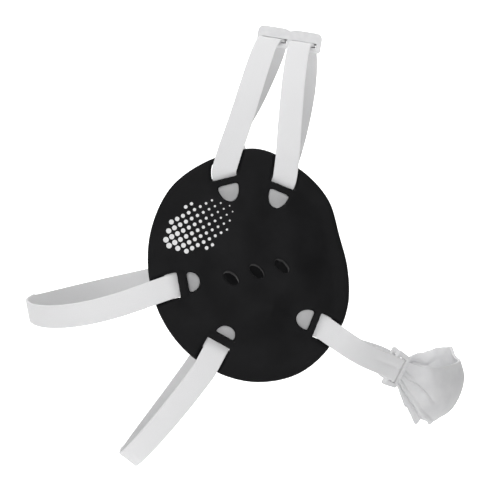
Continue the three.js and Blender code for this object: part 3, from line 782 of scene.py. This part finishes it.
# Chin cup: a sheet gathered in both sliders
chin = {
    "reach": 131, "top": -61.5, "depth": 40, "width": 60, "sheet": 1.8, "edge": 0.5,
    "neckStart": 2, "neckEnd": 1.5, "neckRise": 0.5, "columns": 150, "rows": 60,
    # in metres: a point that the sheet's inner side faces, and its flat size
    "inside": (0.09, 0, -0.062), "flat": (0.086, 0.066),
    # gather in the slider, then forward, out and down of the side point, forward and down of the front point
    "sections": [(1, 0.4, 0.93, 0.01, 0.944, 0), (0.6, 0.47, 0.97, 0.24, 1, 0.26),
                 (0.2, 0.45, 0.95, 0.48, 0.945, 0.53), (-0.2, 0.345, 0.87, 0.7, 0.81, 0.77),
                 (-0.6, 0.29, 0.77, 0.8, 0.67, 0.85), (-1, 0.215, 0.67, 0.84, 0.52, 0.89)],
    # folds: height and width, and the path as places along and down the sheet
    "folds": [(1.5, 0.05, [(0.15, 0.9), (0.22, 0.72), (0.28, 0.64), (0.34, 0.68), (0.39, 0.8), (0.45, 1)]),
              (-2.2, 0.07, [(0.15, 1), (0.22, 0.88), (0.28, 0.82), (0.34, 0.86), (0.38, 1)]),
              (-1.0, 0.022, [(0.16, 0.5), (0.21, 0.45), (0.268, 0.37), (0.345, 0.43)]),
              (-0.8, 0.03, [(0.14, 0.25), (0.2, 0.3), (0.24, 0.34)]),
              (1.1, 0.03, [(0.85, 0.22), (0.767, 0.14), (0.69, 0.2), (0.63, 0.13), (0.57, 0.02)]),
              (-1.6, 0.07, [(0.86, 0.8), (0.76, 0.66), (0.66, 0.6)]),
              (1.4, 0.06, [(0.86, 0.6), (0.74, 0.45), (0.64, 0.4)])],
    # pleats beside the sliders: height, half turns down the sheet, and where they rise and end along it
    "pleats": {"height": 0.5, "turns": 10, "start": 0.02, "full": 0.06, "end": 0.16},
    # lower hem: place along it, drop and width
    "hem": [(0.335, 2.4, 0.018), (0.372, -2.4, 0.016), (0.405, -3.4, 0.022), (0.445, 2.4, 0.014),
            (0.49, -1.4, 0.012), (0.56, 1.5, 0.02), (0.62, -1.5, 0.025), (0.67, 1.8, 0.016),
            (0.25, -0.8, 0.02)],
    # far part of the upper rim: place along it and lift
    "rim": [(0.54, 0), (0.553, 1.2), (0.567, 5.6), (0.6, 3.9), (0.633, 2.4), (0.667, 0.6), (0.7, 0.3),
            (0.733, 1.8), (0.78, 2), (0.84, 0)],
    "hemFrom": 0.72, "rimTo": 0.28,
}
neckOut = -slider["bar"] / 2 - strap["thickness"] - chin["sheet"] / 2 - 4 * strap["gap"]
neckHalf = strap["width"] / 2 - chin["sheet"] / 2
chinStart = onSlider(sliderEnd, 0, 0).x
chinRun = chin["reach"] - chinStart


def chinSpan(section):
    # from the near slider round the front to the far one
    gather, forward, out, down, frontForward, frontDown = section
    neck = [onSlider(sliderHalf - chin["neckStart"], gather * neckHalf, neckOut),
            onSlider(sliderEnd + chin["neckEnd"], gather * neckHalf, neckOut + chin["neckRise"])]
    top, depth = chin["top"], chin["depth"]
    flank = Vector((chinStart + forward * chinRun, -out * chin["width"] / 2, top - down * depth))
    middle = Vector((chinStart + frontForward * chinRun, 0, top - frontDown * depth))
    leftFlank = flipped(flank) + Vector((leftChin["rimForward"] * (1 + gather) / 2, 0, leftChin["rimLift"]))
    return neck + [flank, middle, leftFlank] + [toLeftSlider(p) for p in reversed(neck)]


def pathHeight(path, x):
    # height at x of a smoothed line through the path's points, or None beside it
    for a, b in zip(path, path[1:]):
        (x0, y0), (x1, y1) = sorted((a, b))
        if x0 <= x <= x1:
            return y0 + (y1 - y0) * smoothstep(x, x0, x1)
    return None


def foldHeight(u, down):
    total = 0
    for depth, width, path in chin["folds"]:
        middle = pathHeight(path, u)
        if middle is not None:
            start, end = sorted((path[0][0], path[-1][0]))
            share = (u - start) / (end - start)
            ends = smoothstep(share, 0, 0.25) * (1 - smoothstep(share, 0.75, 1.25))
            total += depth * bump(down, middle, width) * ends
    return total


def pleatHeight(u, down):
    pleats = chin["pleats"]
    near = min(u, 1 - u)
    rise = smoothstep(near, pleats["start"], pleats["full"])
    fade = 1 - smoothstep(near, pleats["full"], pleats["end"])
    return pleats["height"] * math.cos(pleats["turns"] * math.pi * down) * rise * fade


def makeChinCup():
    columns, rows = chin["columns"], chin["rows"]
    spans = [chinSpan(section) for section in chin["sections"]]
    lines = [[splinePoint(span, i / columns) for span in spans] for i in range(columns + 1)]
    sheet = [[splinePoint(line, j / rows) for j in range(rows + 1)] for line in lines]

    def normalAt(i, j):
        a = sheet[min(i + 1, columns)][j] - sheet[max(i - 1, 0)][j]
        b = sheet[i][min(j + 1, rows)] - sheet[i][max(j - 1, 0)]
        return b.cross(a).normalized()

    obj, spots = addGrid("chin_cup_sheet", columns, rows)
    for v, (i, j) in zip(obj.data.vertices, spots):
        u, down = i / columns, j / rows
        p = sheet[i][j] + normalAt(i, j) * (foldHeight(u, down) + pleatHeight(u, down))
        drop = sum(depth * bump(u, middle, width) for middle, depth, width in chin["hem"])
        p.z -= drop * smoothstep(down, chin["hemFrom"], 1)
        p.z += (pathHeight(chin["rim"], u) or 0) * (1 - smoothstep(down, 0, chin["rimTo"]))
        v.co = p * mm
    thicken(obj, chin["sheet"], len(spots), Vector(chin["inside"]), chin["edge"])
    finishPiece(obj, "chin_cup", chinLook)
    print("chin cup area", sum(f.area for f in obj.data.polygons) / 2)


makeChinCup()

# Floor that runs up into a backdrop, lights and camera, in metres
stage = {
    "floor": -0.34, "near": -1.6, "far": 2.6, "round": 1.2, "tall": 2.4, "wide": 8, "rows": 48, "tone": 0.8,
    "rough": 0.9, "glow": (0.1, 0.85), "glowFrom": (-0.2, 0.6), "world": 0.06,
}


def makeStage():
    rows = stage["rows"]
    obj, spots = addGrid("floor", 2, rows)
    flat = stage["far"] - stage["round"] - stage["near"]
    curve = stage["round"] * math.pi / 2
    total = flat + curve + stage["tall"]
    for v, (column, row) in zip(obj.data.vertices, spots):
        run = total * row / rows
        bend = min(max(run - flat, 0), curve) / stage["round"]
        y = stage["near"] + min(run, flat) + stage["round"] * math.sin(bend)
        z = stage["floor"] + stage["round"] * (1 - math.cos(bend)) + max(run - flat - curve, 0)
        v.co = ((column / 2 - 0.5) * stage["wide"], y, z)
    obj.data.shade_smooth()
    look, tree, shader = newMaterial("pale floor", (stage["tone"],) * 3, stage["rough"])
    shader.inputs["Emission Color"].default_value = (1, 1, 1, 1)
    place = addNode(tree, "ShaderNodeTexCoord")
    parts = addNode(tree, "ShaderNodeSeparateXYZ")
    tree.links.new(place.outputs["Object"], parts.inputs["Vector"])
    glow = mapRange(tree, parts.outputs["Y"], stage["glowFrom"], stage["glow"])
    tree.links.new(glow, shader.inputs["Emission Strength"])
    obj.data.materials.append(look)


makeStage()

lights = [
    # name, place, aim, size, watts
    ("left", (-1.7, -0.6, 0.5), (0, 0, 0), 1.0, 9),
    ("top", (0, -0.5, 1.6), (0, 0, 0), 1.2, 19),
    ("front", (0.05, -2.2, 0.16), (0, 0, 0), 0.6, 24),
    ("backdrop", (0, 1.1, 2.4), (0, 2.4, 0.6), 2.0, 30),
]
for name, place, aim, size, watts in lights:
    light = bpy.data.lights.new(name, "AREA")
    light.shape, light.size, light.energy = "SQUARE", size, watts
    lamp = bpy.data.objects.new(name, light)
    bpy.context.collection.objects.link(lamp)
    lamp.location = place
    lamp.rotation_euler = (Vector(aim) - Vector(place)).to_track_quat("-Z", "Y").to_euler()

world = bpy.data.worlds.new("studio")
world.use_nodes = True
world.node_tree.nodes["Background"].inputs["Color"].default_value = (1, 1, 1, 1)
world.node_tree.nodes["Background"].inputs["Strength"].default_value = stage["world"]
bpy.context.scene.world = world
bpy.context.scene.view_settings.view_transform = "Standard"

# angles in degrees, place in millimetres
view = {"azimuth": 1, "elevation": 2, "place": (5.9, -613.3, 30.1), "lens": 69.319, "sensor": 36}
azimuth, elevation = math.radians(view["azimuth"]), math.radians(view["elevation"])
level = math.cos(elevation)
back = Vector((math.sin(azimuth) * level, -math.cos(azimuth) * level, math.sin(elevation)))
camera = bpy.data.cameras.new("camera")
camera.lens, camera.sensor_width, camera.clip_end = view["lens"], view["sensor"], 20
eye = bpy.data.objects.new("camera", camera)
bpy.context.collection.objects.link(eye)
eye.location = Vector(view["place"]) * mm
eye.rotation_euler = back.to_track_quat("Z", "Y").to_euler()
bpy.context.scene.camera = eye
print("stage set")
